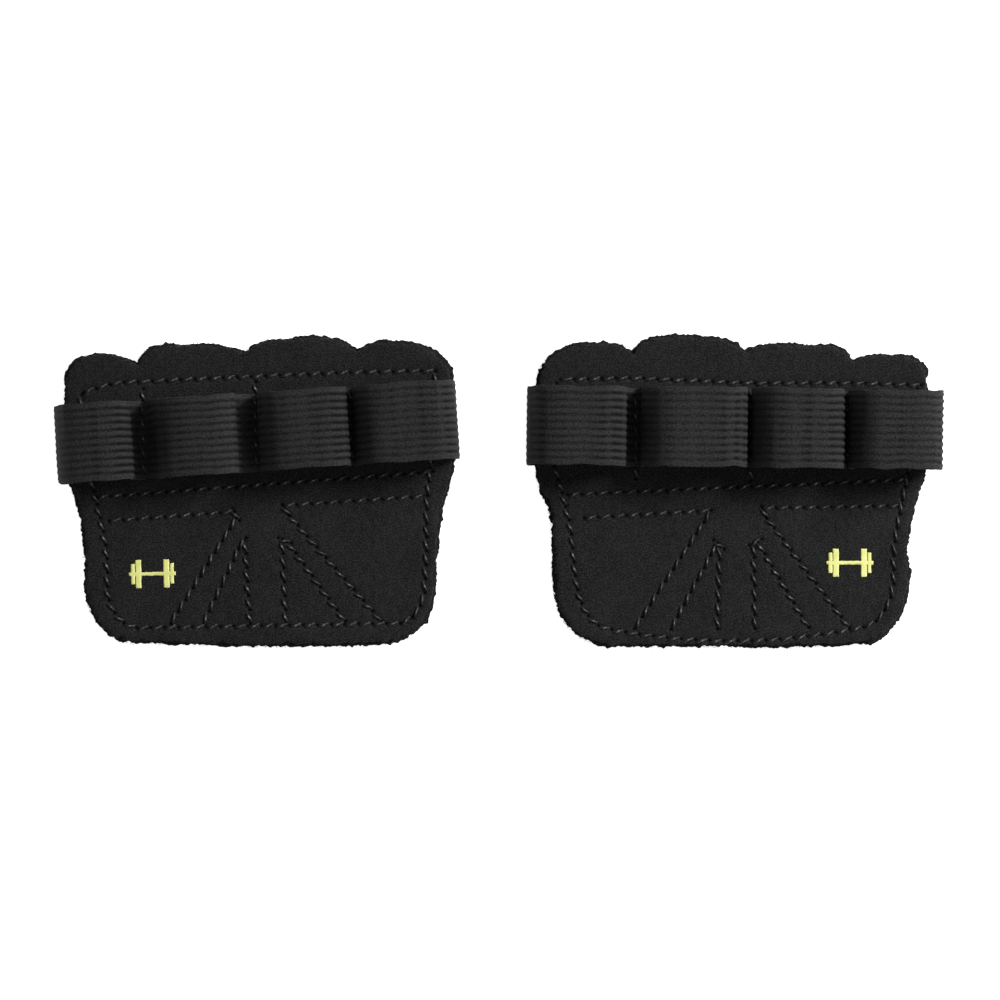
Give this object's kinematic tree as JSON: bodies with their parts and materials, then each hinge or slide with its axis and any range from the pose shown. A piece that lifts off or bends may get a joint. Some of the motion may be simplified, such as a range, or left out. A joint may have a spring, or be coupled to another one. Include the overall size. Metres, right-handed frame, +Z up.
{
  "type": "hand grips",
  "caption": "Left and right suede palm grips with scalloped finger edges, stitched seams and a ribbed elastic band that forms a loop for each finger.",
  "frame": {"origin": "centre of the pair's outer box, on the surface the grips lie on", "axes": "+X across the pair, from the left-hand grip to the right-hand one; +Y towards the fingertips; +Z up, from the bar side to the finger loops"},
  "size_m": [0.227, 0.0807, 0.0178],
  "materials": {
    "suede_hand_side": "napped",
    "suede_bar_side": "napped",
    "elastic": "ribbed weave",
    "thread": "twisted",
    "print": "matt film"
  },
  "bodies": {
    "left_finger_section": {"left_back_finger_panel": "suede_bar_side", "left_front_finger_panel": "suede_hand_side", "left_band_anchors": "elastic", "left_thread_top_seam": "thread", "left_thread_lower_seam": "thread", "left_thread_dividers": "thread", "left_thread_edge_finger": "thread", "left_bobbin_finger": "thread"},
    "left_palm_section": {"left_back_palm_panel": "suede_bar_side", "left_front_palm_panel": "suede_hand_side", "left_thread_edge_palm": "thread", "left_thread_panel_seams": "thread", "left_thread_rays": "thread", "left_bobbin_palm": "thread", "left_print_mark": "print"},
    "left_pinky_loop": {"left_loop_pinky": "elastic"},
    "left_ring_loop": {"left_loop_ring": "elastic"},
    "left_middle_loop": {"left_loop_middle": "elastic"},
    "left_index_loop": {"left_loop_index": "elastic"},
    "right_finger_section": {"right_back_finger_panel": "suede_bar_side", "right_front_finger_panel": "suede_hand_side", "right_band_anchors": "elastic", "right_thread_top_seam": "thread", "right_thread_lower_seam": "thread", "right_thread_dividers": "thread", "right_thread_edge_finger": "thread", "right_bobbin_finger": "thread"},
    "right_palm_section": {"right_back_palm_panel": "suede_bar_side", "right_front_palm_panel": "suede_hand_side", "right_thread_edge_palm": "thread", "right_thread_panel_seams": "thread", "right_thread_rays": "thread", "right_bobbin_palm": "thread", "right_print_mark": "print"},
    "right_pinky_loop": {"right_loop_pinky": "elastic"},
    "right_ring_loop": {"right_loop_ring": "elastic"},
    "right_middle_loop": {"right_loop_middle": "elastic"},
    "right_index_loop": {"right_loop_index": "elastic"}
  },
  "joints": [
    {"name": "left_palm_fold", "type": "hinge", "parent": "left_finger_section", "child": "left_palm_section", "pos_m": [-0.06111, -0.00169, 0.0015], "axis": [0.9972, 0.075, 0], "range_deg": [-90, 90], "stiffness_Nm_per_rad": 0.02},
    {"name": "left_pinky_loop_stretch", "type": "slide", "parent": "left_finger_section", "child": "left_pinky_loop", "axis": [0, 0, 1], "range_m": [0, 0.006], "stiffness_N_per_m": 250},
    {"name": "left_ring_loop_stretch", "type": "slide", "parent": "left_finger_section", "child": "left_ring_loop", "axis": [0, 0, 1], "range_m": [0, 0.006], "stiffness_N_per_m": 250},
    {"name": "left_middle_loop_stretch", "type": "slide", "parent": "left_finger_section", "child": "left_middle_loop", "axis": [0, 0, 1], "range_m": [0, 0.006], "stiffness_N_per_m": 250},
    {"name": "left_index_loop_stretch", "type": "slide", "parent": "left_finger_section", "child": "left_index_loop", "axis": [0, 0, 1], "range_m": [0, 0.006], "stiffness_N_per_m": 250},
    {"name": "right_grip_lift", "type": "slide", "parent": "left_finger_section", "child": "right_finger_section", "axis": [0, 0, 1], "range_m": [0, 0.1]},
    {"name": "right_palm_fold", "type": "hinge", "parent": "right_finger_section", "child": "right_palm_section", "pos_m": [0.06086, -0.00209, 0.0015], "axis": [0.9991, 0.0419, 0], "range_deg": [-90, 90], "stiffness_Nm_per_rad": 0.02},
    {"name": "right_pinky_loop_stretch", "type": "slide", "parent": "right_finger_section", "child": "right_pinky_loop", "axis": [0, 0, 1], "range_m": [0, 0.006], "stiffness_N_per_m": 250},
    {"name": "right_ring_loop_stretch", "type": "slide", "parent": "right_finger_section", "child": "right_ring_loop", "axis": [0, 0, 1], "range_m": [0, 0.006], "stiffness_N_per_m": 250},
    {"name": "right_middle_loop_stretch", "type": "slide", "parent": "right_finger_section", "child": "right_middle_loop", "axis": [0, 0, 1], "range_m": [0, 0.006], "stiffness_N_per_m": 250},
    {"name": "right_index_loop_stretch", "type": "slide", "parent": "right_finger_section", "child": "right_index_loop", "axis": [0, 0, 1], "range_m": [0, 0.006], "stiffness_N_per_m": 250}
  ]
}
